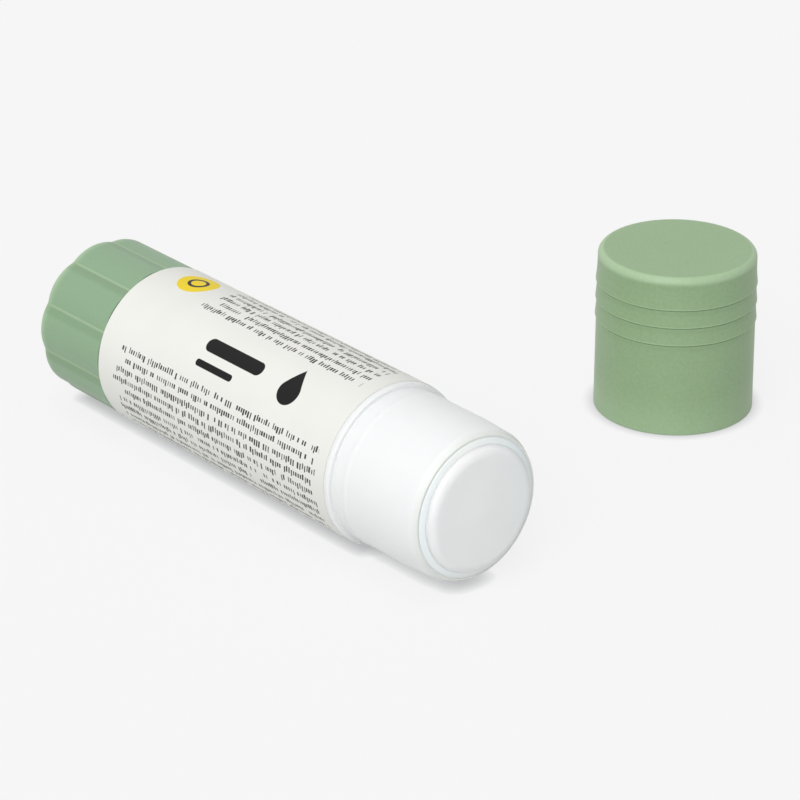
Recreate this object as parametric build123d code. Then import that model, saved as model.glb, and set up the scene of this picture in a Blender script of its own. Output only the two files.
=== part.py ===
"""A twist-up glue stick: a round white barrel lying on its side, with its green cap standing beside it.

The green knob turns a two-start lead screw, which pushes the carrier and the glue out of the mouth.
All sizes are in millimetres. Each piece of the stick is drawn along +X, from the flat end of the knob at 0
to the mouth. The cap is drawn from its open rim up. Both are then put on the floor, at Z = 0.
"""

from build123d import *
import os

os.makedirs("parts", exist_ok=True)

# Driving sizes
stick_length = 87.8
barrel_radius = 12.4
barrel_wall = 2.25
neck_length = 17.5
shoulder_step = 0.7
knob_length = 15.5
cap_height = 26.0
cap_rim_wall = 0.6
cap_draft = 0.16

# Where the cap stands, from the centre of the mouth
cap_behind_mouth = 26.1
cap_beside_stick = 63.9

# Clearances
knob_rim_gap = 0.15
knob_running_clearance = 0.1
journal_clearance = 0.05
drive_clearance = 0.03
boss_gap = 0.15
flange_gap = 0.1
carrier_clearance = 0.1
carrier_stop_gap = 0.2
glue_clearance = 0.15
rib_clearance = 0.15
thread_clearance = 0.15
channel_clearance = 0.3
cap_clearance = 0.05
cut_overrun = 1.0

# Label: a film wrapped once round the barrel, its ends almost meeting underneath
label_thickness = 0.1
label_inset = 0.1
bare_band = 1.0
label_seam_gap = 0.4
label_seam_angle = 150

# Barrel: neck, lip, floor, tail and guide ribs
shoulder_rounding = 0.35
neck_root_rounding = 0.2
neck_straight = 11.5
neck_draft = 0.25
lip_length = 1.1
lip_roll = 0.55
lip_rounding = 0.8
rim_rounding = 0.2
bead_from_shoulder = 2.1
bead_width = 1.2
bead_height = 0.12
floor_below_knob_rim = 2.4
floor_thickness = 1.5
tail_step = 1.2
tail_gap = 1.2
tail_rounding = 0.4
snap_from_knob_end = 7.0
snap_width = 2.0
snap_depth = 0.4
rib_count = 2
rib_width = 1.4
rib_height = 0.5
rib_below_mouth = 6.0

# Knob: ten long lobes, a rounded far edge, a cup that turns on the tail, and a socket
lobe_count = 10
lobe_depth = 0.45
valley_rounding = 0.5
valley_angle = 7
knob_edge_rounding = 1.25
knob_end_thickness = 1.3
knob_corner_rounding = 0.6
boss_radius = 4.0
socket_depth = 9.0

# Lead screw: hexagonal drive, journal, flange and a coarse left-hand thread with two rounded starts
drive_across_flats = 4.0
drive_length = 8.7
journal_radius = 2.6
flange_radius = 6.0
flange_thickness = 1.2
thread_lead = 6.0
thread_crest_radius = 2.7
thread_root_radius = 2.0
screw_tip_below_mouth = 9.5
screw_tip_chamfer = 0.8

# Carrier: a cup with the nut in its middle
carrier_length = 12.0
carrier_wall = 0.9
web_from_foot = 3.0
web_thickness = 1.2
nut_length = 8.0
nut_radius = 4.4
carrier_rounding = 0.3

# Glue: a bar that fills the bore, drawn in a little near its end, which stands proud of the mouth
glue_proud = 1.8
glue_crown = 0.35
glue_edge_rounding = 1.4
glue_taper = 0.5
glue_taper_length = 4.0
glue_above_screw = 1.0

# Cap: a thin drafted cup with three low rings, each flared towards the fine groove under it
cap_top_thickness = 1.0
cap_edge_rounding = 1.1
cap_rim_rounding = 0.2
cap_seat_length = 10.0
cap_inner_draft = 0.2
cap_inner_rounding = 0.8
cap_lead_in = 0.25
first_groove_from_top = 5.25
ring_pitch = 2.9
ring_count = 3
ring_flare = 0.2
ring_waist = 0.06
groove_width = 0.22
groove_depth = 0.1

# Sizes worked out from the ones above
stick_radius = barrel_radius + label_thickness
bore_radius = barrel_radius - barrel_wall
tail_radius = barrel_radius - tail_step
neck_radius = barrel_radius - shoulder_step
neck_mouth_radius = neck_radius - neck_draft
rim_radius = neck_mouth_radius - lip_roll
shoulder_place = stick_length - neck_length
barrel_start = knob_length + knob_rim_gap
floor_underside = knob_length - floor_below_knob_rim
floor_top = floor_underside + floor_thickness
tail_end = knob_end_thickness + tail_gap
boss_top = floor_underside - boss_gap
journal_start = boss_top
flange_start = floor_top + flange_gap
thread_start = flange_start + flange_thickness
screw_tip = stick_length - screw_tip_below_mouth
thread_length = screw_tip - thread_start
notch_width = rib_width + 2 * rib_clearance
notch_depth = rib_height + rib_clearance
carrier_foot = thread_start + carrier_stop_gap
carrier_rim = carrier_foot + carrier_length
carrier_radius = bore_radius - carrier_clearance
cup_radius = carrier_radius - carrier_wall
cup_floor = carrier_foot + web_from_foot + web_thickness
nut_top = carrier_foot + nut_length
glue_radius = bore_radius - glue_clearance
glue_tip_radius = glue_radius - glue_taper
glue_top = stick_length + glue_proud
glue_edge = glue_top - glue_crown
cap_bore_radius = neck_radius + cap_clearance
cap_rim_radius = cap_bore_radius + cap_rim_wall
cap_top_radius = cap_rim_radius - cap_draft
cap_inner_top_radius = cap_bore_radius - cap_inner_draft
cap_slope = cap_draft / cap_height
lowest_groove = cap_height - first_groove_from_top - (ring_count - 1) * ring_pitch
cap_widest_radius = cap_rim_radius - cap_slope * lowest_groove + ring_flare

# Places on the floor, with the origin under the middle of everything
knob_end_x = -glue_top / 2
stick_y = (stick_radius - cap_beside_stick - cap_widest_radius) / 2
cap_x = knob_end_x + stick_length - cap_behind_mouth
cap_y = stick_y + cap_beside_stick
stick_place = Pos(knob_end_x, stick_y, stick_radius)
cap_place = Pos(cap_x, cap_y, 0) * Rot(0, -90, 0)


def turned(outline):
    """A round piece about X. Each corner of the outline is a place along X, a radius and a rounding."""
    corners = [(place, radius) for place, radius, rounding in outline]
    roundings = [rounding for place, radius, rounding in outline]
    section = make_face(FilletPolyline(*corners, radius=roundings, close=True))
    return revolve(section, axis=Axis.X)


def arched_ring(start, width, start_radius, middle_radius, end_radius, back_radius):
    """A ring about X whose face arches through three radii and whose back is flat."""
    end = start + width
    arch = ThreePointArc((start, start_radius), (start + width / 2, middle_radius), (end, end_radius))
    back = Polyline((end, end_radius), (end, back_radius), (start, back_radius), (start, start_radius))
    return revolve(make_face(arch + back), axis=Axis.X)


def long_ribs(start, end, width, height):
    """The bars of the guide ribs, centred on the wall of the bore."""
    bar = Pos(start, 0, bore_radius) * Box(
        end - start, width, 2 * height, align=(Align.MIN, Align.CENTER, Align.CENTER)
    )
    return [Rot(360 * number / rib_count, 0, 0) * bar for number in range(rib_count)]


def twisted_bar(clearance):
    """The screw's thread: an oval twisted left-handed, so that each end of the oval winds one start."""
    oval = Plane.YZ * Ellipse(thread_crest_radius + clearance, thread_root_radius + clearance)
    turns = thread_length / thread_lead
    right_hand = Solid.extrude_linear_with_rotation(
        oval.face(), (0, 0, 0), (thread_length, 0, 0), 360 * turns
    )
    return Pos(thread_start, 0, 0) * right_hand.mirror(Plane.XZ)


def make_barrel():
    tube = turned(
        [
            (tail_end, bore_radius, 0),
            (tail_end, tail_radius, tail_rounding),
            (barrel_start, tail_radius, 0),
            (barrel_start, barrel_radius, 0),
            (shoulder_place, barrel_radius, shoulder_rounding),
            (shoulder_place, neck_radius, neck_root_rounding),
            (shoulder_place + neck_straight, neck_radius, 0),
            (stick_length - lip_length, neck_mouth_radius, lip_rounding),
            (stick_length, rim_radius, rim_rounding),
            (stick_length, bore_radius, rim_rounding),
            (floor_top, bore_radius, 0),
            (floor_top, journal_radius + journal_clearance, 0),
            (floor_underside, journal_radius + journal_clearance, 0),
            (floor_underside, bore_radius, 0),
        ]
    )
    tube += arched_ring(
        shoulder_place + bead_from_shoulder,
        bead_width,
        neck_radius,
        neck_radius + bead_height,
        neck_radius,
        neck_radius - bead_height,
    )
    tube -= arched_ring(
        snap_from_knob_end,
        snap_width,
        tail_radius,
        tail_radius - snap_depth,
        tail_radius,
        tail_radius + cut_overrun,
    )
    for rib in long_ribs(floor_top, stick_length - rib_below_mouth, rib_width, rib_height):
        tube += rib
    return tube


def make_label():
    film_start = barrel_start + label_inset
    film_end = shoulder_place - bare_band
    film_length = film_end - film_start
    film = turned(
        [
            (film_start, barrel_radius, 0),
            (film_start, stick_radius, 0),
            (film_end, stick_radius, 0),
            (film_end, barrel_radius, 0),
        ]
    )
    seam = Pos(film_start, 0, stick_radius) * Box(
        film_length, label_seam_gap, 2 * cut_overrun, align=(Align.MIN, Align.CENTER, Align.CENTER)
    )
    return film - Rot(label_seam_angle, 0, 0) * seam


def lobed_disc():
    """The knob's outline: equal arcs round the axis that meet in narrow rounded valleys."""
    valley_radius = stick_radius - lobe_depth
    half_lobe = Vector(0, valley_radius).rotate(Axis.Z, 180 / lobe_count)
    rise = stick_radius - half_lobe.Y
    arc_radius = (rise**2 + half_lobe.X**2) / (2 * rise)
    centres = PolarLocations(stick_radius - arc_radius, lobe_count)
    lobes = Sketch() + [centre * Circle(arc_radius) for centre in centres]
    return fillet(lobes.vertices(), valley_rounding)


def make_twist_knob():
    first_lobe_angle = valley_angle + 180 / lobe_count
    outline = Plane.YZ * Rot(0, 0, 90 - first_lobe_angle) * lobed_disc()
    body = extrude(outline, knob_length)
    body = fillet(body.faces().sort_by(Axis.X)[0].edges(), knob_edge_rounding)
    cup_wall = tail_radius + knob_running_clearance
    body -= turned(
        [
            (knob_end_thickness, boss_radius, knob_corner_rounding),
            (knob_end_thickness, cup_wall, knob_corner_rounding),
            (knob_length, cup_wall, 0),
            (knob_length, 0, 0),
            (boss_top, 0, 0),
            (boss_top, boss_radius, 0),
        ]
    )
    body += arched_ring(
        snap_from_knob_end,
        snap_width,
        cup_wall,
        cup_wall - snap_depth,
        cup_wall,
        cup_wall + snap_depth,
    )
    socket_radius = drive_across_flats / 2 + drive_clearance
    socket = Plane.YZ * RegularPolygon(socket_radius, 6, major_radius=False)
    return body - Pos(boss_top - socket_depth, 0, 0) * extrude(socket, socket_depth)


def make_lead_screw():
    hexagon = Plane.YZ * RegularPolygon(drive_across_flats / 2, 6, major_radius=False)
    drive = Pos(journal_start - drive_length, 0, 0) * extrude(hexagon, drive_length)
    shaft = turned(
        [
            (journal_start, 0, 0),
            (journal_start, journal_radius, 0),
            (flange_start, journal_radius, 0),
            (flange_start, flange_radius, 0),
            (thread_start, flange_radius, 0),
            (thread_start, 0, 0),
        ]
    )
    tip = turned(
        [
            (thread_start, 0, 0),
            (thread_start, thread_crest_radius + cut_overrun, 0),
            (screw_tip - screw_tip_chamfer - cut_overrun, thread_crest_radius + cut_overrun, 0),
            (screw_tip, thread_crest_radius - screw_tip_chamfer, 0),
            (screw_tip, 0, 0),
        ]
    )
    return drive + shaft + (twisted_bar(0) & tip)


def make_carrier():
    cup = turned(
        [
            (carrier_foot, cup_radius, 0),
            (carrier_foot, carrier_radius, carrier_rounding),
            (carrier_rim, carrier_radius, 0),
            (carrier_rim, cup_radius, 0),
            (cup_floor, cup_radius, carrier_rounding),
            (cup_floor, nut_radius, carrier_rounding),
            (nut_top, nut_radius, 0),
            (nut_top, 0, 0),
            (carrier_foot, 0, 0),
            (carrier_foot, nut_radius, 0),
            (carrier_foot + web_from_foot, nut_radius, carrier_rounding),
            (carrier_foot + web_from_foot, cup_radius, carrier_rounding),
        ]
    )
    cup -= twisted_bar(thread_clearance)
    for notch in long_ribs(0, stick_length, notch_width, notch_depth):
        cup -= notch
    return cup


def make_glue():
    channel_radius = thread_crest_radius + channel_clearance
    channel_end = screw_tip + glue_above_screw
    crown_radius = (glue_tip_radius**2 + glue_crown**2) / (2 * glue_crown)
    edge = (glue_edge, glue_tip_radius)
    sides = Polyline(
        edge,
        (stick_length - glue_taper_length, glue_radius),
        (carrier_rim, glue_radius),
        (carrier_rim, cup_radius),
        (cup_floor, cup_radius),
        (cup_floor, nut_radius),
        (nut_top, nut_radius),
        (nut_top, channel_radius),
        (channel_end, channel_radius),
        (channel_end, 0),
        (glue_top, 0),
    )
    crown = RadiusArc((glue_top, 0), edge, crown_radius)
    section = make_face(sides + crown)
    section = fillet(section.vertices().sort_by_distance(edge)[0], glue_edge_rounding)
    for cup_corner in ((cup_floor, cup_radius), (cup_floor, nut_radius)):
        section = fillet(section.vertices().sort_by_distance(cup_corner)[0], carrier_rounding)
    bar = revolve(section, axis=Axis.X)
    for notch in long_ribs(0, stick_length - rib_below_mouth, notch_width, notch_depth):
        bar -= notch
    return bar


def make_cap():
    shell = turned(
        [
            (0, cap_bore_radius + cap_lead_in, 0),
            (0, cap_rim_radius, cap_rim_rounding),
            (cap_height, cap_top_radius, cap_edge_rounding),
            (cap_height, 0, 0),
            (cap_height - cap_top_thickness, 0, 0),
            (cap_height - cap_top_thickness, cap_inner_top_radius, cap_inner_rounding),
            (cap_seat_length, cap_bore_radius, 0),
            (cap_lead_in, cap_bore_radius, 0),
        ]
    )
    grooves = [lowest_groove + number * ring_pitch for number in range(ring_count)]
    for groove in grooves:
        foot = cap_rim_radius - cap_slope * groove
        waist = foot - cap_slope * ring_pitch / 2
        top = foot - cap_slope * ring_pitch
        shell += arched_ring(
            groove,
            ring_pitch,
            foot + ring_flare,
            waist + ring_waist,
            top,
            top - ring_flare,
        )
    for groove in grooves:
        wall = cap_rim_radius - cap_slope * groove
        shell -= arched_ring(
            groove - groove_width / 2,
            groove_width,
            wall,
            wall - groove_depth,
            wall,
            wall + ring_flare + cut_overrun,
        )
    return shell


pieces = {
    "barrel": stick_place * make_barrel(),
    "label": stick_place * make_label(),
    "twist_knob": stick_place * make_twist_knob(),
    "lead_screw": stick_place * make_lead_screw(),
    "carrier": stick_place * make_carrier(),
    "glue": stick_place * make_glue(),
    "cap": cap_place * make_cap(),
}

for name, piece in pieces.items():
    export_step(piece, f"parts/{name}.step")
    print(name, round(piece.volume, 1))
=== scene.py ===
# %% [markdown]
# # A twist-up glue stick
# A round white glue stick lies on its side, open, and its green cap stands beside it. The solids
# were drawn first, so every piece here already has its real size and place. Blender adds what the
# eye judges: the satin of moulded plastic, the printed film, the waxy bar of glue, and the soft
# light of a small photo tent.

# %% Load the frame
import math

import bmesh
import bpy
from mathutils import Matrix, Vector


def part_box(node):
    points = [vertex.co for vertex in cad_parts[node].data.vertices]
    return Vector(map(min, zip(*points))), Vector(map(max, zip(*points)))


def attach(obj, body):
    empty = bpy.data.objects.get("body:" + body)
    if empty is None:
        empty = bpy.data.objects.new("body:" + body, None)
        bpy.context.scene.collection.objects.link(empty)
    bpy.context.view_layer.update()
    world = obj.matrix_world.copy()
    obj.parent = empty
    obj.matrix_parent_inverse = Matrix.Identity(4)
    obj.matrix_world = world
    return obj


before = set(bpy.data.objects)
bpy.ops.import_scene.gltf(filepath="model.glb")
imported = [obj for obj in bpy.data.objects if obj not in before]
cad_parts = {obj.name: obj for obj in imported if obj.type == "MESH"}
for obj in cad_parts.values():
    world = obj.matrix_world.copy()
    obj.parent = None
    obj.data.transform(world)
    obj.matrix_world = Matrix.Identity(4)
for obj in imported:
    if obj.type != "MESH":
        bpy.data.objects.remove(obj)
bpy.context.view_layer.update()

print("pieces:", sorted(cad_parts))

# %% [markdown]
# ## Places on the stick
# Everything on the stick is measured from two things that any maker would use: the middle line of
# the barrel and the plane of the mouth. On the cap it is the height above the rim. Reading them
# from the solids, instead of typing them, keeps the print and the painted light and shade in place
# if a size ever changes.

# %% Places on the stick and the cap
MM = 0.001
film_low, film_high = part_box("label")
mouth_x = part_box("barrel")[1].x
stick_y = (film_low.y + film_high.y) / 2
stick_z = (film_low.z + film_high.z) / 2
stick_radius = (film_high.z - film_low.z) / 2
knob_end_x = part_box("twist_knob")[0].x
cap_low, cap_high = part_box("cap")
cap_x = (cap_low.x + cap_high.x) / 2
cap_y = (cap_low.y + cap_high.y) / 2
print(f"mouth at x = {mouth_x / MM:.2f} mm")
print(f"barrel radius with its film {stick_radius / MM:.2f} mm")
print(f"cap {cap_high.z / MM:.2f} mm high at ({cap_x / MM:.2f}, {cap_y / MM:.2f}) mm")

# %% [markdown]
# ## Sums with sockets
# A procedural finish is mostly arithmetic on a place: how far from the mouth, how far round the
# barrel, how much noise. In the node editor each sum is a box with wires. Wrapping a socket in a
# small class lets Python write the same sum as `1 - mask * 0.5`, which is far easier to read back
# and to change.

# %% A socket that can stand in a sum
class Wire:
    """A socket of a material's node tree. Sums on it add their Math nodes."""

    def __init__(self, tree, socket):
        self.tree = tree
        self.socket = socket

    def node(self, kind, settings, values, output=0):
        """Adds any other node. Settings are set first, then sockets get their values or links."""
        made = self.tree.nodes.new(kind)
        for name, setting in settings.items():
            setattr(made, name, setting)
        for name, value in values.items():
            if isinstance(value, Wire):
                self.tree.links.new(value.socket, made.inputs[name])
            else:
                made.inputs[name].default_value = value
        return Wire(self.tree, made.outputs[output])

    def maths(self, operation, *others):
        values = dict(enumerate([self, *others]))
        return self.node("ShaderNodeMath", {"operation": operation}, values)

    def __add__(self, other):
        return self.maths("ADD", other)

    def __mul__(self, other):
        return self.maths("MULTIPLY", other)

    def __sub__(self, other):
        return self.maths("SUBTRACT", other)

    def __truediv__(self, other):
        return self.maths("DIVIDE", other)

    def __pow__(self, other):
        return self.maths("POWER", other)

    def __gt__(self, other):
        return self.maths("GREATER_THAN", other)

    def __lt__(self, other):
        return self.maths("LESS_THAN", other)

    def __rsub__(self, other):
        return self.node("ShaderNodeMath", {"operation": "SUBTRACT"}, {0: other, 1: self})

    __radd__ = __add__
    __rmul__ = __mul__


# %% [markdown]
# Colours and vectors need their own nodes, because a Math node turns a colour grey. The next
# helpers cover the few that these finishes use: a mix of two colours, the three parts of a place
# and the way back, and the slanted length over two sides.

# %% Helpers for colours and places
def mix(factor, low, high):
    """A colour that is low where factor is 0 and high where it is 1."""
    values = {0: factor, 6: low, 7: high}
    return factor.node("ShaderNodeMix", {"data_type": "RGBA"}, values, output=2)


def parts_of(vector):
    """The three numbers of a vector."""
    first = vector.node("ShaderNodeSeparateXYZ", {}, {0: vector})
    outputs = first.socket.node.outputs
    return [Wire(vector.tree, outputs[number]) for number in range(3)]


def vector_of(x, y, z):
    """A vector from three numbers, of which the first is a wire."""
    return x.node("ShaderNodeCombineXYZ", {}, {0: x, 1: y, 2: z})


def slant(first, second):
    """The length of the slanted side over two sides at right angles."""
    return (first * first + second * second) ** 0.5


# %% [markdown]
# A mask is a number from 0 to 1 that says where something shows. Most masks here are a soft step
# or a thin band of some distance. Noise gives the unevenness that no mould or printer avoids, and
# the bump turns a height into a change of the surface's slope.

# %% Helpers for masks and noise
def soft_step(value, start, end):
    """0 before start and 1 after end, smooth between them."""
    settings = {"interpolation_type": "SMOOTHSTEP"}
    values = {"Value": value, "From Min": start, "From Max": end}
    return value.node("ShaderNodeMapRange", settings, values)


def thin_band(value, middle, half_width, fade_end):
    """1 within half_width of the middle, and 0 beyond fade_end from it."""
    return 1 - soft_step((value - middle).maths("ABSOLUTE"), half_width, fade_end)


def noise(place, size, detail=2.0, roughness=0.5):
    """Smooth noise from 0 to 1 whose lumps are about as wide as size."""
    values = {"Vector": place, "Scale": 1 / size, "Detail": detail, "Roughness": roughness}
    return place.node("ShaderNodeTexNoise", {}, values)


def bump(height, distance):
    """A surface direction that makes the surface look raised by distance where height is 1."""
    values = {"Height": height, "Distance": distance, "Strength": 1.0}
    return height.node("ShaderNodeBump", {}, values)


# %% [markdown]
# ## Starting a finish
# Each finish starts from the same three things: a material, its shader, and the place of each
# point in the object's own coordinates. Object coordinates belong to the piece, so the grain stays
# put when the knob turns or the camera moves.

# %% Start and apply a finish
def srgb(red, green, blue):
    """A colour as a picture editor shows it, turned into the linear colour a shader needs."""
    linear = []
    for value in (red, green, blue):
        level = value / 255
        linear.append(level / 12.92 if level <= 0.04045 else ((level + 0.055) / 1.055) ** 2.4)
    return (*linear, 1.0)


def start_finish(name):
    """A new material, its shader, and the place of each point on the piece."""
    material = bpy.data.materials.new(name)
    material.use_nodes = True
    tree = material.node_tree
    shader = tree.nodes["Principled BSDF"]
    place = Wire(tree, tree.nodes.new("ShaderNodeTexCoord").outputs["Object"])
    return material, shader, place


def set_shader(shader, values):
    """Sets the shader's sockets, or links them where the value changes over the surface."""
    for name, value in values.items():
        if isinstance(value, Wire):
            value.tree.links.new(value.socket, shader.inputs[name])
        else:
            shader.inputs[name].default_value = value


def dress(piece, material):
    """Puts one finish on a whole piece."""
    piece.data.materials.clear()
    piece.data.materials.append(material)
    for face in piece.data.polygons:
        face.material_index = 0
    print(f"{piece.name}: {material.name}, {len(piece.data.polygons)} faces")


# %% [markdown]
# A point of the stick is best named the way a lathe would: how far along, how far from the middle
# line, and how far turned from the top.

# %% Lathe places on the stick
def across_stick(place):
    """How far a point of the stick lies from its middle line, and its turn from the top."""
    x, y, z = parts_of(place)
    beside = y - stick_y
    above = z - stick_z
    return slant(beside, above), beside.maths("ARCTAN2", above)


def along_stick(place, start_x):
    """How many millimetres a point lies past start_x, towards the mouth."""
    return (parts_of(place)[0] - start_x) / MM


# %% [markdown]
# ## Green plastic
# The knob and the cap are moulded from one sage green polypropylene. It is satin, not glossy, and
# very even: only a fine cloud and a few specks of pigment break it up. The knob's green is painted
# a little darker and bluer than the cap's, as painted shade. Each piece also hands in two masks:
# one where the green is painted paler, as painted highlights and painted light, and one where it
# is painted darker, as painted shade. The masks are worked out from places on the piece, so they
# stay put wherever one looks from.

# %% Green plastic
CAP_GREEN = srgb(147, 174, 134)
# The knob's green: the cap's green with painted shade, darker and bluer.
SHADED_KNOB_GREEN = srgb(136, 166, 136)
GREEN_DEEP = srgb(134, 162, 124)
GREEN_PAINTED_HIGHLIGHT = srgb(176, 201, 166)
GREEN_SHADE = srgb(104, 132, 94)
PALE_PIGMENT = srgb(176, 198, 164)
DARK_PIGMENT = srgb(86, 104, 76)


def green_plastic(name, green, painted_light_mask, shade_mask):
    """The knob's and the cap's finish. The masks say where light is painted paler and shade
    darker.
    """
    material, shader, place = start_finish(name)
    cloud = noise(place, 0.5 * MM, detail=3.0, roughness=0.6)
    flow = noise(place, 7 * MM)
    pale_speck = soft_step(noise(place, 0.17 * MM, detail=1.0), 0.66, 0.74)
    dark_speck = soft_step(noise(place, 0.34 * MM, detail=0.0), 0.85, 0.9)
    grain = noise(place, 0.12 * MM, roughness=0.6)
    mottle = soft_step(cloud, 0.3, 0.7)
    colour = mix(0.35 + 0.5 * mottle + 0.3 * flow, GREEN_DEEP, green)
    colour = mix(pale_speck * 0.2, colour, PALE_PIGMENT)
    colour = mix(dark_speck * 0.5, colour, DARK_PIGMENT)
    # The edge mask paints highlights and light paler, and the shade mask paints shade darker.
    colour = mix(painted_light_mask(place) * (0.85 + 0.3 * cloud), colour, GREEN_PAINTED_HIGHLIGHT)
    colour = mix(shade_mask(place), colour, GREEN_SHADE)
    set_shader(
        shader,
        {
            "Base Color": colour,
            "Roughness": 0.36 + 0.1 * cloud,
            "Normal": bump(grain * 0.4 + cloud, 0.006 * MM),
            "IOR": 1.5,
            "Specular IOR Level": 0.4,
            "Subsurface Weight": 0.15,
            "Subsurface Radius": (0.7, 1.0, 0.5),
            "Subsurface Scale": 0.8 * MM,
        },
    )
    return material


# %% [markdown]
# The knob has ten lobes. A painted highlight runs down each valley as a fine pale line, and its
# rounded far end is painted paler as a highlight too. A cosine of its turn, ten waves to the
# round, peaks at the bottom of each valley, so one sum finds all ten. It is cut off near the
# middle line, since the flat end has no valleys. The painted shade on the darker side of a valley
# is the same wave, shifted a little.

# %% Knob: painted highlights on the far edge and down each valley, and painted shade beside them
VALLEY_COUNT = 10
FIRST_VALLEY = math.radians(7)
VALLEY_SHADE_SHIFT = 0.55  # radians of the wave
VALLEY_LINE_WAVE = (0.975, 0.999)  # where the wave's top starts to show as a line, and does
VALLEY_SIDE_WAVE = (0.55, 1.0)
VALLEY_LINE_RADII = (11.6, 11.8)  # millimetres, inside which the mask is cut off
VALLEY_SIDE_RADII = (11.3, 12.0)
KNOB_ROUNDING = 2.4  # millimetres of the far end that are rounded


def knob_painted_highlights(place):
    from_line, turn = across_stick(place)
    # Painted highlights: the rounded far end and a fine line down each valley are painted paler.
    rounded_end_highlight = 1 - soft_step(along_stick(place, knob_end_x), 0.0, KNOB_ROUNDING)
    wave = ((turn - FIRST_VALLEY) * VALLEY_COUNT).maths("COSINE")
    outside = soft_step(from_line / MM, *VALLEY_LINE_RADII)
    valley_highlight = soft_step(wave, *VALLEY_LINE_WAVE) * outside
    return (rounded_end_highlight * 0.9).maths("MAXIMUM", valley_highlight * 0.6)


def knob_shades(place):
    from_line, turn = across_stick(place)
    phase = (turn - FIRST_VALLEY) * VALLEY_COUNT + VALLEY_SHADE_SHIFT
    outside = soft_step(from_line / MM, *VALLEY_SIDE_RADII)
    return soft_step(phase.maths("COSINE"), *VALLEY_SIDE_WAVE) * outside * 0.3


knob_finish = green_plastic("green_knob_plastic", SHADED_KNOB_GREEN, knob_painted_highlights, knob_shades)
dress(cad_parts["twist_knob"], knob_finish)

# %% [markdown]
# The cap's rounded top edge has a painted highlight, and its foot is painted paler as light from
# the floor. Three rings run round it, each flared towards the fine groove under it. The thin
# flared edge, just over the groove, has a painted highlight line too, and a band of painted shade
# lies under the groove.

# %% Cap: painted light on the top edge, foot and rings, and painted shade under the grooves
GROOVE_HEIGHTS = [14.95, 17.85, 20.75]
HIGHLIGHT_LINE_RISE = 0.12  # the painted highlight line's height over the groove
SHADE_DROP = 0.6  # the painted shade band's depth under the groove
TOP_EDGE_HEIGHTS = (24.5, 25.3)
TOP_EDGE_RADII = (11.1, 11.6)
FOOT_HEIGHT = 7.0


def height_on_cap(place):
    """Millimetres above the cap's rim."""
    return (parts_of(place)[2] - cap_low.z) / MM


def cap_painted_light(place):
    x, y, z = parts_of(place)
    height = height_on_cap(place)
    from_line = slant(x - cap_x, y - cap_y) / MM
    # Painted highlights on the top edge and over each groove, and painted light from the floor on
    # the foot.
    top_edge_highlight = soft_step(height, *TOP_EDGE_HEIGHTS) * soft_step(from_line, *TOP_EDGE_RADII)
    foot = 1 - soft_step(height, 0.0, FOOT_HEIGHT)
    painted_pale = top_edge_highlight * 0.6 + foot * 0.3
    for groove in GROOVE_HEIGHTS:
        painted_pale = painted_pale + thin_band(height, groove + HIGHLIGHT_LINE_RISE, 0.05, 0.2) * 0.45
    return painted_pale


def cap_shades(place):
    height = height_on_cap(place)
    # Painted shade: a darker band under each groove.
    shade_bands = [thin_band(height, groove - SHADE_DROP, 0.1, 0.5) for groove in GROOVE_HEIGHTS]
    return sum(shade_bands) * 0.09


cap_finish = green_plastic("green_cap_plastic", CAP_GREEN, cap_painted_light, cap_shades)
dress(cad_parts["cap"], cap_finish)

# %% [markdown]
# ## White plastic
# The barrel is white polypropylene with a cool cast. Where the tool slid out of the mould it left
# hair-fine lines along the barrel, so the noise is stretched along the stick. The plastic lets
# some light through, which softens its edges, and a little subsurface scattering shows that. Its
# last millimetre, the rolled lip, has a faint green grey painted on as shade.

# %% White plastic
ALONG_STRETCH = (0.08, 1, 1)
WHITE_LOW = srgb(232, 234, 234)
WHITE_HIGH = srgb(236, 238, 238)
SCUFFED_WHITE = srgb(224, 228, 228)
PAINTED_LIP_SHADE = srgb(230, 234, 228)
LIP_SHADE_SPAN = (-0.9, -0.35)  # millimetres past the mouth


def white_plastic():
    material, shader, place = start_finish("white_barrel_plastic")
    drawn = place.node("ShaderNodeMapping", {}, {"Vector": place, "Scale": ALONG_STRETCH})
    hairlines = noise(drawn, 0.35 * MM, detail=3.0, roughness=0.6)
    scuff = soft_step(noise(drawn, 0.7 * MM, detail=4.0, roughness=0.7), 0.62, 0.75)
    lip_shade = soft_step(along_stick(place, mouth_x), *LIP_SHADE_SPAN)
    colour = mix(noise(place, 5 * MM), WHITE_LOW, WHITE_HIGH)
    colour = mix(scuff * 0.15, colour, SCUFFED_WHITE)
    # Painted shade: the lip's last millimetre is tinted green grey.
    colour = mix(lip_shade * 0.75, colour, PAINTED_LIP_SHADE)
    set_shader(
        shader,
        {
            "Base Color": colour,
            "Roughness": 0.36 + 0.12 * scuff,
            "Normal": bump(hairlines, 0.004 * MM),
            "IOR": 1.49,
            "Subsurface Weight": 0.35,
            "Subsurface Radius": (1.0, 0.97, 0.93),
            "Subsurface Scale": 1.5 * MM,
        },
    )
    return material


dress(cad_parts["barrel"], white_plastic())

# %% [markdown]
# ## Inner plastics
# The lead screw and the carrier are hidden until the glue is used up, and their maker leaves them
# unpainted. The screw is natural polypropylene, milky and a little yellow. The carrier is the same
# with white in it.

# %% Inner plastics
def inner_plastic(name, dark, light, roughness):
    material, shader, place = start_finish(name)
    cloud = noise(place, 3 * MM, detail=3.0)
    grain = noise(place, 0.15 * MM)
    set_shader(
        shader,
        {
            "Base Color": mix(cloud, dark, light),
            "Roughness": roughness + 0.1 * cloud,
            "Normal": bump(grain, 0.005 * MM),
            "IOR": 1.49,
            "Subsurface Weight": 0.25,
            "Subsurface Radius": (1.0, 0.9, 0.7),
            "Subsurface Scale": 1.5 * MM,
        },
    )
    return material


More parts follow.
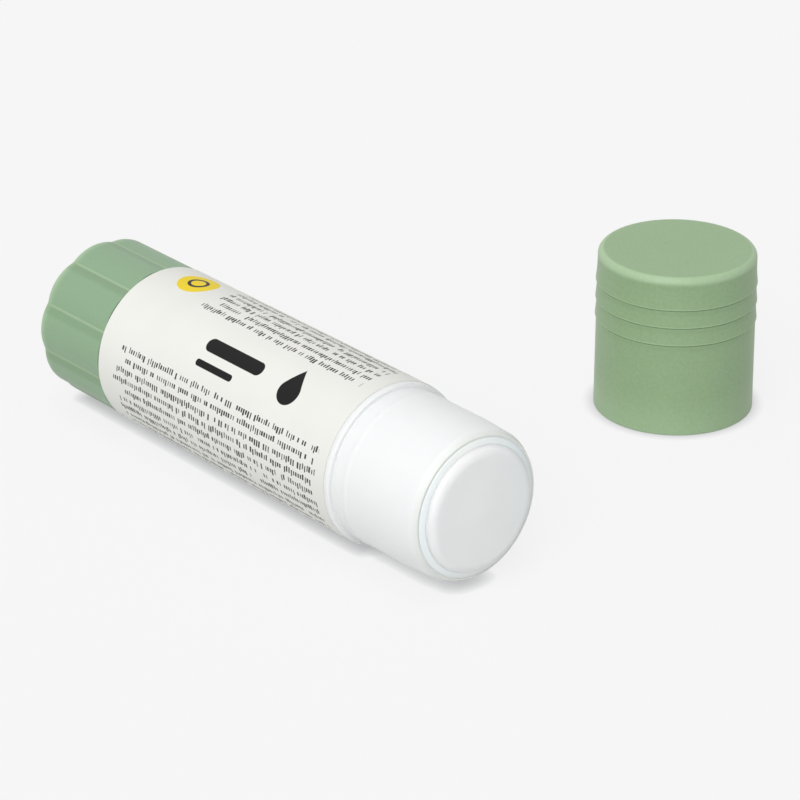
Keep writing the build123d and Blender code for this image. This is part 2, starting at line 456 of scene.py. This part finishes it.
natural = inner_plastic("natural_plastic", srgb(214, 211, 196), srgb(226, 224, 212), 0.35)
whitened = inner_plastic("carrier_plastic", srgb(226, 229, 229), srgb(236, 238, 238), 0.4)
dress(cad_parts["lead_screw"], natural)
dress(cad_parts["carrier"], whitened)

# %% [markdown]
# ## The bar of glue
# The glue is a cast soap-like gel: cool white, a little see-through, smooth at first touch, and
# never quite flat. Its surface has shallow dents from the cap and fine pits. Strong subsurface
# scattering makes it look soft beside the harder white of the barrel. Its colour carries painted
# light and shade: it drifts a little from a paler side, towards the lamps, to a darker one.

# %% Glue
GLUE_LIT_SIDE = srgb(246, 253, 254)
GLUE_MIDDLE = srgb(249, 253, 251)
GLUE_SHADED_SIDE = srgb(243, 251, 253)
GLUE_PIT = srgb(212, 218, 216)
SHADING_TILT = 0.15
BAR_SOFTNESS = 0.7
SMEAR_SOFTNESS = 0.1


def glue_gel(name, softness):
    """The glue's finish. Softness is the share of light that travels inside it."""
    material, shader, place = start_finish(name)
    cloud = noise(place, 4 * MM, detail=3.0)
    dents = noise(place, 2.2 * MM)
    pits = soft_step(noise(place, 0.35 * MM), 0.68, 0.8)
    x, y, z = parts_of(place)
    beside = (y - stick_y + (z - stick_z) * SHADING_TILT) / MM + cloud * 2.0
    # Painted light and shade: paler on the side towards the lamps, darker on the other.
    colour = mix(soft_step(beside, -8.5, 0.5), GLUE_LIT_SIDE, GLUE_MIDDLE)
    colour = mix(soft_step(beside, 0.5, 9.0), colour, GLUE_SHADED_SIDE)
    colour = mix(pits * 0.2, colour, GLUE_PIT)
    set_shader(
        shader,
        {
            "Base Color": colour,
            "Roughness": 0.3 + 0.15 * cloud,
            "Normal": bump(dents - 0.3 * pits, 0.05 * MM),
            "IOR": 1.46,
            "Specular IOR Level": 0.85,
            "Subsurface Weight": softness,
            "Subsurface Radius": (0.95, 1.0, 1.0),
            "Subsurface Scale": 2.5 * MM,
        },
    )
    return material


dress(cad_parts["glue"], glue_gel("glue_gel", BAR_SOFTNESS))

# %% [markdown]
# The bar fills the bore, but its tip has been worn a little thinner, so a shoulder of glue shows
# in the mouth, level with the lip. The solid only has a plain taper there. A ring of glue round
# the taper gives the shoulder: its section is drawn as a closed outline and spun round the middle
# line. Its rim swells a little over the lip's inner edge, as smeared glue does, and its inner edge
# is wavy from wear. The smear is too thin for light to travel far in it, so it is less soft than
# the bar. It rides with the carrier, as the bar does.

# %% The shoulder's outline: millimetres past the mouth, and radius in millimetres
SHOULDER_OUTLINE = [
    (-4.6, 9.60),
    (-4.5, 10.05),
    (-0.6, 10.10),
    (-0.29, 10.30),
    (-0.1, 10.46),
    (0.0, 10.49),
    (0.09, 10.38),
    (0.2, 10.12),
    (0.31, 9.78),
    (0.4, 9.40),
]
WAVY_WITHIN = 9.8  # only points inside this radius are wavy
SPIN_STEPS = 160


def worn(past_mouth, radius, angle):
    """A radius of the outline, with its slow and its quick wave where it is worn."""
    if radius >= WAVY_WITHIN:
        return radius
    slow_wave = 0.02 * math.sin(3 * angle + past_mouth)
    quick_wave = 0.015 * math.sin(7 * angle + 1.3)
    return radius + slow_wave + quick_wave


# %% Spin the outline into a ring
def spin_outline(name, outline):
    """A closed ring about the stick's middle line."""
    mesh = bmesh.new()
    rings = []
    for step in range(SPIN_STEPS):
        angle = 2 * math.pi * step / SPIN_STEPS
        ring = []
        for past_mouth, radius in outline:
            across = worn(past_mouth, radius, angle) * MM
            beside = across * math.sin(angle)
            above = across * math.cos(angle)
            point = (mouth_x + past_mouth * MM, stick_y + beside, stick_z + above)
            ring.append(mesh.verts.new(point))
        rings.append(ring)
    for ring, following in zip(rings, rings[1:] + rings[:1]):
        for corner in range(len(outline)):
            after = (corner + 1) % len(outline)
            corners = (ring[corner], ring[after], following[after], following[corner])
            mesh.faces.new(corners).smooth = True
    bmesh.ops.recalc_face_normals(mesh, faces=mesh.faces)
    data = bpy.data.meshes.new(name)
    mesh.to_mesh(data)
    mesh.free()
    piece = bpy.data.objects.new(name, data)
    bpy.context.scene.collection.objects.link(piece)
    return piece


glue_shoulder = spin_outline("glue_shoulder", SHOULDER_OUTLINE)
dress(glue_shoulder, glue_gel("smeared_glue", SMEAR_SOFTNESS))
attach(glue_shoulder, "carrier")

# %% [markdown]
# ## The printed film
# The label is a white film wrapped once round the barrel. To print on it, each point needs two
# numbers in millimetres: how far it is behind the mouth, and how far round from the top line. The
# arc tangent of its place about the middle line gives the second. A real label is crowded with
# small type. Here that type is only suggested: short ticks in rows, as a designer's dummy has
# before the words come, with a plain drop, two bars and a yellow spot as its only other marks.

# %% Where a point lies on the film
def film_place(place):
    """Millimetres behind the mouth, and millimetres round the film from its top line."""
    from_line, turn = across_stick(place)
    behind = (mouth_x - parts_of(place)[0]) / MM
    return behind, turn * (stick_radius / MM)


# %% [markdown]
# Plain printed shapes come from one sum, a rectangle with rounded corners: the distance to a
# smaller rectangle inside it, less the corner's radius. With corners as large as the rectangle it
# is a disc, and a disc with a cone on it is a drop.

# %% Printed shapes
INK_EDGE = 0.05  # half the width, in millimetres, over which ink fades out
CONE_SLOPE = math.tan(math.radians(30))


def rounded_bar(behind, around, centre, half_size, radius):
    """1 inside a rectangle with rounded corners."""
    past_side = (behind - centre[0]).maths("ABSOLUTE") - (half_size[0] - radius)
    past_end = (around - centre[1]).maths("ABSOLUTE") - (half_size[1] - radius)
    distance = slant(past_side.maths("MAXIMUM", 0.0), past_end.maths("MAXIMUM", 0.0))
    return 1 - soft_step(distance, radius - INK_EDGE, radius + INK_EDGE)


def disc(behind, around, centre, radius):
    """1 inside a disc."""
    return rounded_bar(behind, around, centre, (radius, radius), radius)


def plain_drop(behind, around, centre, radius):
    """1 inside a drop whose tip points round the film, away from its round foot."""
    aside = (behind - centre[0]).maths("ABSOLUTE")
    up = around - centre[1]
    past_cone = aside - (2 * radius - up) * CONE_SLOPE
    cone = (1 - soft_step(past_cone, -INK_EDGE, INK_EDGE)) * (up > radius / 2)
    return disc(behind, around, centre, radius).maths("MAXIMUM", cone)


# %% [markdown]
# The dummy type is a grid of cells, one tick to a cell. The whole part of a place says which cell
# it is in, and the rest says where in the cell. White noise of the cell's number then gives each
# tick its own height and width and leaves some cells empty, as the gaps between words.

# %% Rows of ticks in place of small type
ROW_PITCH = 1.68
TICK_PITCH = 0.52
ROW_STAGGER = 0.37  # each row starts this share of a tick later
FOOT_LINE, HEAD_LINE = 0.28, 0.68  # where a plain tick starts and ends, as shares of the row
TAIL, STEM = 0.13, 0.17  # how much further a long tick goes, below and above
TAIL_SHARE, STEM_SHARE, GAP_SHARE = 0.15, 0.28, 0.16
RAGGED_END = 3.0


def cell_noise(first, second, seed):
    """A random number from 0 to 1 that is the same all over one cell."""
    cell = vector_of(first, second, seed)
    return cell.node("ShaderNodeTexWhiteNoise", {"noise_dimensions": "3D"}, {"Vector": cell})


def dummy_rows(behind, around, start, end, top, row_count, seed):
    """A block of rows of ticks. Start, end and top are places on the film."""
    row = (around - top) / -ROW_PITCH
    row_number = row.maths("FLOOR")
    in_row = row.maths("FRACT")
    tick = behind / TICK_PITCH + row_number * ROW_STAGGER
    tick_number = tick.maths("FLOOR")
    in_tick = tick.maths("FRACT")
    height = cell_noise(tick_number, row_number, seed)
    width = cell_noise(tick_number, row_number, seed + 1)
    word = cell_noise(tick_number, row_number, seed + 2) > GAP_SHARE
    low = FOOT_LINE - TAIL * (height > 1 - TAIL_SHARE)
    high = HEAD_LINE + STEM * (height < STEM_SHARE)
    stroke = (in_tick > 0.12) * (in_tick < 0.46 + 0.4 * width)
    upright = (in_row > low) * (in_row < high)
    row_end = end - RAGGED_END * cell_noise(row_number, 0.0, seed + 3)
    in_block = (behind > start) * (behind < row_end)
    in_block = in_block * (row_number > -0.5) * (row_number < row_count - 0.5)
    return stroke * upright * word * in_block


# %% [markdown]
# The layout is a list of places in millimetres behind the mouth and round from the top line. The
# upper block runs over the top to the back, and the lower one runs down to the table.

# %% The layout of the print
UPPER_ROWS = {"start": 21.5, "end": 60.5, "top": 29.94, "row_count": 20, "seed": 1.0}
LOWER_ROWS = {"start": 20.5, "end": 68.5, "top": -13.9, "row_count": 10, "seed": 11.0}
TITLE_BAR = {"centre": (44.5, -8.2), "half_size": (6.5, 1.15), "radius": 1.1}
SUBTITLE_BAR = {"centre": (46.8, -11.4), "half_size": (4.2, 0.55), "radius": 0.5}
DROP = {"centre": (31.2, -9.2), "radius": 2.1}
SPOT = {"centre": (64.6, 1.2), "radius": 3.3}
SPOT_RING = {"centre": (64.6, 1.2), "radius": 1.7}
SPOT_RING_HOLE = {"centre": (64.6, 1.2), "radius": 1.15}


def printed_marks(behind, around):
    """Four masks: the rows, the yellow spot, the ring on it, and the dark marks."""
    upper = dummy_rows(behind, around, **UPPER_ROWS)
    rows = upper.maths("MAXIMUM", dummy_rows(behind, around, **LOWER_ROWS))
    spot = disc(behind, around, **SPOT)
    ring = disc(behind, around, **SPOT_RING) - disc(behind, around, **SPOT_RING_HOLE)
    title = rounded_bar(behind, around, **TITLE_BAR)
    bars = title.maths("MAXIMUM", rounded_bar(behind, around, **SUBTITLE_BAR))
    marks = bars.maths("MAXIMUM", plain_drop(behind, around, **DROP))
    return rows, spot, ring, marks


# %% [markdown]
# The film itself is a warm white beside the barrel's cool one, with hardly any gloss. The black
# marks lie on it as a solid coat of ink, so they shine a little more than the bare film.

# %% The film's finish
FILM_LOW = srgb(225, 225, 220)
FILM_HIGH = srgb(230, 230, 225)
ROW_INK = srgb(28, 28, 26)
SPOT_YELLOW = srgb(236, 208, 38)
RING_INK = srgb(40, 40, 36)
MARK_INK = srgb(16, 16, 16)


def printed_film():
    material, shader, place = start_finish("printed_film")
    rows, spot, ring, marks = printed_marks(*film_place(place))
    grain = noise(place, 0.25 * MM)
    colour = mix(noise(place, 8 * MM), FILM_LOW, FILM_HIGH)
    colour = mix(rows * 0.96, colour, ROW_INK)
    colour = mix(spot, colour, SPOT_YELLOW)
    colour = mix(ring, colour, RING_INK)
    colour = mix(marks, colour, MARK_INK)
    set_shader(
        shader,
        {
            "Base Color": colour,
            "Roughness": 0.42 + 0.1 * grain - 0.06 * marks,
            "Normal": bump(grain, 0.004 * MM),
            "IOR": 1.49,
            "Specular IOR Level": 0.2,
        },
    )
    return material


dress(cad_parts["label"], printed_film())

# %% [markdown]
# ## The table
# The photograph's ground is one even pale grey with hardly a shadow. A real floor under real light
# shades off, so the floor shows the camera mostly its own even glow, and only a share of the light
# that falls on it. That share keeps the soft shadow on the side away from the light. The dark line
# where the stick touches the card is a painted contact shadow in the glow: Ambient Occlusion asks
# how much of the sky above each point is free within a few millimetres, and the glow turns grey
# where little is. Rays that bounce off the floor see plain pale card, which is what lights the
# underside of the stick.

# %% Floor
PAPER = srgb(245, 245, 245)
CARD = srgb(214, 214, 214)
CONTACT_SHADOW_GREY = srgb(168, 169, 171)
CONTACT_REACH = 2.0 * MM
CONTACT_SAMPLES = 8
GLOW_STRENGTH = 1.06
GLOW_SHARE = 0.85
FLOOR_SIZE = 12.0


def seen_rays(tree):
    """1 for rays that end in the picture or in a reflection."""
    rays = tree.nodes.new("ShaderNodeLightPath").outputs
    camera = Wire(tree, rays["Is Camera Ray"])
    glossy = Wire(tree, rays["Is Glossy Ray"])
    through = Wire(tree, rays["Is Transmission Ray"])
    return camera.maths("MAXIMUM", glossy).maths("MAXIMUM", through)


def card_material():
    material = bpy.data.materials.new("pale_card")
    material.use_nodes = True
    tree = material.node_tree
    tree.nodes.clear()
    card = Wire(tree, tree.nodes.new("ShaderNodeBsdfDiffuse").outputs[0])
    card.socket.node.inputs["Color"].default_value = CARD
    occlusion = {"samples": CONTACT_SAMPLES}
    reach = {"Distance": CONTACT_REACH}
    open_sky = card.node("ShaderNodeAmbientOcclusion", occlusion, reach, output="AO")
    # Painted contact shadow: the glow turns grey where the sky close by is closed.
    glow_colour = mix(open_sky, CONTACT_SHADOW_GREY, PAPER)
    glow_values = {"Color": glow_colour, "Strength": GLOW_STRENGTH}
    glow = card.node("ShaderNodeEmission", {}, glow_values)
    share = seen_rays(tree) * GLOW_SHARE
    mixed = share.node("ShaderNodeMixShader", {}, {0: share, 1: card, 2: glow})
    output = tree.nodes.new("ShaderNodeOutputMaterial")
    tree.links.new(mixed.socket, output.inputs["Surface"])
    return material


bpy.ops.mesh.primitive_plane_add(size=FLOOR_SIZE, location=(0, 0, 0))
floor = bpy.context.active_object
floor.name = "floor"
floor.data.materials.append(card_material())
print("floor:", tuple(round(side, 2) for side in floor.dimensions), "m")

# %% [markdown]
# ## Light
# The cap tells where the light is: its left side is bright, its right side is darker, and its top
# edge shines. So most of the light is a plain white tent, brighter to the left and above.
# A very wide lamp a little to the left of the camera gives the soft shading, a small low panel
# gives the sheen on the neck, and a panel almost overhead lights the rounded edge of the cap.

# %% The tent
CAMERA_AZIMUTH = math.radians(49.70)
CAMERA_ELEVATION = math.radians(25.286)
TENT_STRENGTH = 0.535
BRIGHTER_LEFT = 0.36
BRIGHTER_ABOVE = 0.2


def make_tent():
    world = bpy.data.worlds.new("tent")
    world.use_nodes = True
    tree = world.node_tree
    tree.nodes.clear()
    light = Wire(tree, tree.nodes.new("ShaderNodeBackground").outputs[0])
    light.socket.node.inputs["Color"].default_value = (1, 1, 1, 1)
    sky = Wire(tree, tree.nodes.new("ShaderNodeTexCoord").outputs["Generated"])
    x, y, z = parts_of(sky)
    to_left = x * -math.cos(CAMERA_AZIMUTH) + y * -math.sin(CAMERA_AZIMUTH)
    brightness = TENT_STRENGTH * (1 + BRIGHTER_LEFT * to_left + BRIGHTER_ABOVE * z)
    tree.links.new(brightness.socket, light.socket.node.inputs["Strength"])
    backdrop = light.node("ShaderNodeBackground", {}, {"Color": PAPER, "Strength": 1.0})
    seen = seen_rays(tree)
    mixed = seen.node("ShaderNodeMixShader", {}, {0: seen, 1: light, 2: backdrop})
    output = tree.nodes.new("ShaderNodeOutputWorld")
    tree.links.new(mixed.socket, output.inputs["Surface"])
    bpy.context.scene.world = world
    print(f"{world.name}: strength {TENT_STRENGTH}")


make_tent()

# %% [markdown]
# Each lamp is set by how many degrees it stands to the left of the camera and how high, because
# that is how a photographer would move it. The wide lamp is a sun, whose distance does not matter.

# %% Lamps
LAMP_DISTANCE = 0.8
WIDE_LAMP = {"energy": 1.3, "angle": math.radians(40)}
LOW_PANEL = {"energy": 0.3, "shape": "RECTANGLE", "size": 0.12, "size_y": 0.18}
TOP_PANEL = {"energy": 0.75, "shape": "RECTANGLE", "size": 0.25, "size_y": 0.25}


def direction(azimuth, elevation):
    """From the object towards a lamp or a camera. Azimuth 0 stands in front, looking along +Y."""
    level = math.cos(elevation)
    return Vector((math.sin(azimuth) * level, -math.cos(azimuth) * level, math.sin(elevation)))


def add_lamp(name, kind, degrees_left, degrees_up, settings):
    lamp = bpy.data.lights.new(name, kind)
    for setting, value in settings.items():
        setattr(lamp, setting, value)
    holder = bpy.data.objects.new(name, lamp)
    bpy.context.scene.collection.objects.link(holder)
    azimuth = CAMERA_AZIMUTH - math.radians(degrees_left)
    towards = direction(azimuth, math.radians(degrees_up))
    holder.location = towards * LAMP_DISTANCE
    holder.rotation_mode = "QUATERNION"
    holder.rotation_quaternion = towards.to_track_quat("Z", "Y")
    print(f"{name}: {degrees_left} degrees left of the camera, {degrees_up} degrees up")


add_lamp("key_lamp", "SUN", 20, 40, WIDE_LAMP)
add_lamp("front_panel", "AREA", 10, 8, LOW_PANEL)
add_lamp("top_panel", "AREA", 20, 80, TOP_PANEL)

# %% [markdown]
# ## Camera
# The photograph was taken from far off with a long lens, so the stick's far end is hardly smaller
# than its mouth. The camera's place comes from fitting the rings of the cap and the stick to the
# picture. It looks at a point on the table between them.

# %% Camera
TARGET_BEHIND_MOUTH = 53.94 * MM
TARGET_BESIDE_STICK = 31.82 * MM
CAMERA_DISTANCE = 587.43 * MM
FOCAL_PIXELS = 3766.87
FRAME_PIXELS = 800
SENSOR_WIDTH = 36.0


def make_camera():
    data = bpy.data.cameras.new("camera")
    data.sensor_width = SENSOR_WIDTH
    data.lens = FOCAL_PIXELS / FRAME_PIXELS * SENSOR_WIDTH
    data.clip_start = 0.02
    data.clip_end = 30.0
    camera = bpy.data.objects.new("camera", data)
    bpy.context.scene.collection.objects.link(camera)
    back = direction(CAMERA_AZIMUTH, CAMERA_ELEVATION)
    target = Vector((mouth_x - TARGET_BEHIND_MOUTH, stick_y + TARGET_BESIDE_STICK, 0))
    camera.location = target + back * CAMERA_DISTANCE
    camera.rotation_mode = "QUATERNION"
    camera.rotation_quaternion = (-back).to_track_quat("-Z", "Y")
    bpy.context.scene.camera = camera
    print(f"camera: lens {data.lens:.1f} mm at", [round(value, 4) for value in camera.location])


make_camera()
bpy.context.scene.view_settings.view_transform = "Standard"
